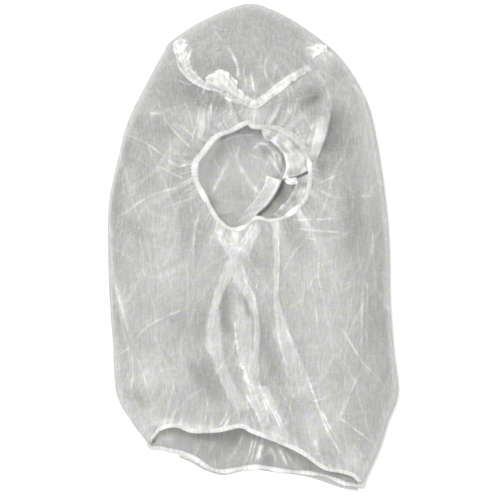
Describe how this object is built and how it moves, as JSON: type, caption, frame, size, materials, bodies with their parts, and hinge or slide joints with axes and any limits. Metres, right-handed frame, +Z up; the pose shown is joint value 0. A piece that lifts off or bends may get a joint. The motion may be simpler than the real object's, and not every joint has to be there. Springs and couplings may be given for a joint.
{
  "type": "head and beard cover",
  "caption": "Disposable hood of thin non-woven cloth with an elastic face opening, a gathered forehead seam and an elastic neck opening.",
  "frame": {"origin": "centre of the bounding box in plan, on the surface that the hood lies on", "axes": "+Y towards the crown, -Y towards the neck opening, +Z up out of the face opening, +X to the right of someone looking down on it"},
  "size_m": [0.2865, 0.4792, 0.0484],
  "materials": {
    "cloth": "thin white spun-bonded non-woven, sheer and crumpled",
    "hem": "the same cloth gathered thick and white over elastic thread"
  },
  "bodies": {
    "root": {"hood_cloth": "cloth", "face_hem": "hem", "neck_hem": "hem", "forehead_seam": "hem"}
  },
  "joints": []
}
